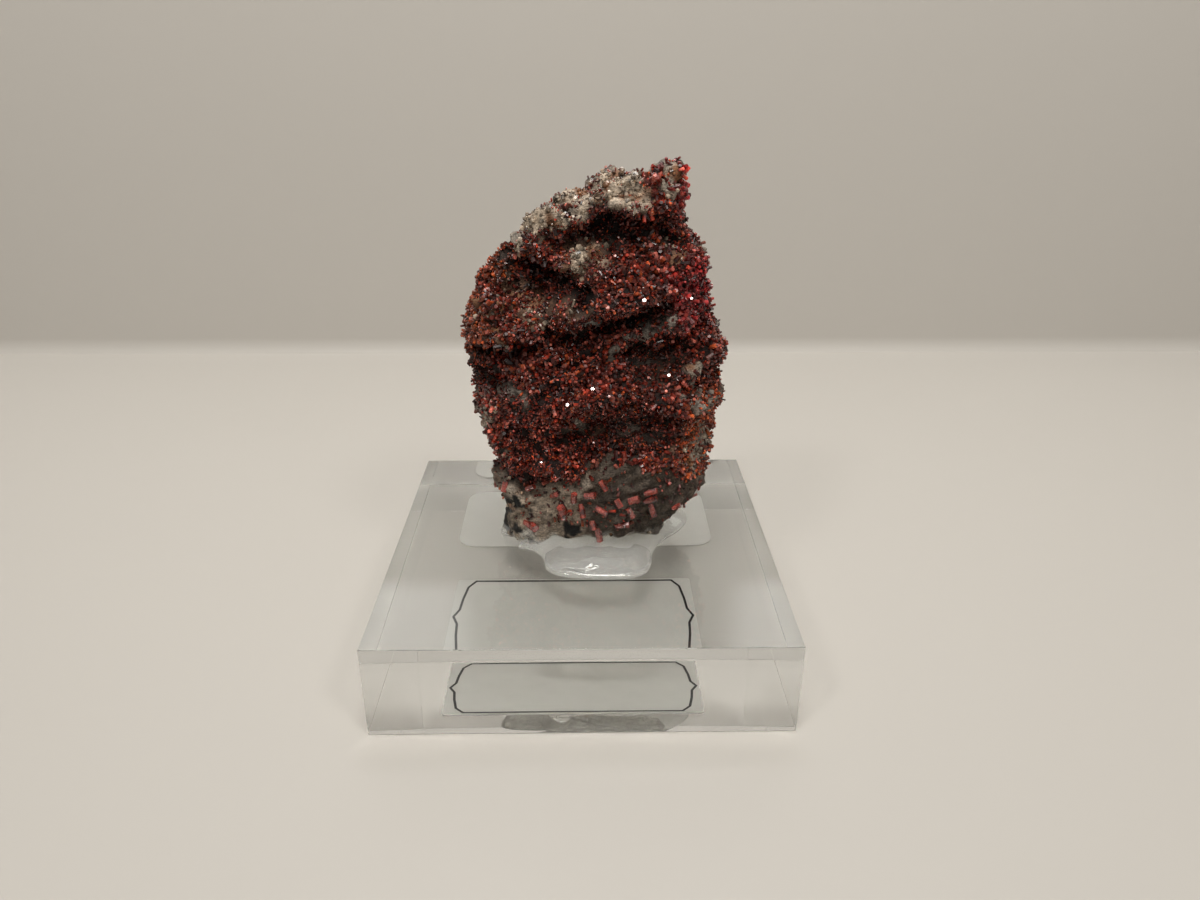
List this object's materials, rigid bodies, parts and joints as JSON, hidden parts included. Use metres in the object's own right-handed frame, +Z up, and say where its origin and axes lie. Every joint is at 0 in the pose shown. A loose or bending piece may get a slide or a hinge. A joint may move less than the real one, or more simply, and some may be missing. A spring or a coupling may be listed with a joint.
{
  "type": "vanadinite on matrix",
  "caption": "Mineral specimen of red prismatic crystals crusted on grey-brown ledged rock, glued upright on a square clear acrylic display block.",
  "frame": {"origin": "middle of the display block's underside", "axes": "+Z up through the block and the specimen, -Y towards the side the crystals face, +X to the right of that face"},
  "size_m": [0.0508, 0.0508, 0.0616],
  "materials": {
    "acrylic": "clear polished acrylic",
    "film": "clear label film",
    "adhesive": "clear hot-melt adhesive",
    "matrix": "broken grey-brown rock",
    "vanadinite": "glassy red-brown crystal"
  },
  "bodies": {
    "root": {"acrylic_block": "acrylic", "name_label": "film", "plain_sticker": "film", "adhesive": "adhesive", "matrix": "matrix", "vanadinite_crust_crest": "vanadinite", "vanadinite_crust_upper": "vanadinite", "vanadinite_crust_shoulder": "vanadinite", "vanadinite_crust_middle": "vanadinite", "vanadinite_crust_right": "vanadinite", "vanadinite_crust_lower": "vanadinite", "vanadinite_crust_flank": "vanadinite", "vanadinite_crystal_01": "vanadinite", "vanadinite_crystal_02": "vanadinite", "vanadinite_crystal_03": "vanadinite", "vanadinite_crystal_04": "vanadinite", "vanadinite_crystal_05": "vanadinite", "vanadinite_crystal_06": "vanadinite", "vanadinite_crystal_07": "vanadinite", "vanadinite_crystal_08": "vanadinite", "vanadinite_crystal_09": "vanadinite", "vanadinite_crystal_10": "vanadinite", "vanadinite_crystal_11": "vanadinite", "vanadinite_crystal_12": "vanadinite", "vanadinite_crystal_13": "vanadinite", "vanadinite_crystal_14": "vanadinite", "vanadinite_crystal_15": "vanadinite", "vanadinite_crystal_16": "vanadinite", "vanadinite_crystal_17": "vanadinite", "vanadinite_crystal_18": "vanadinite", "vanadinite_crystal_19": "vanadinite", "vanadinite_crystal_20": "vanadinite"}
  },
  "joints": []
}
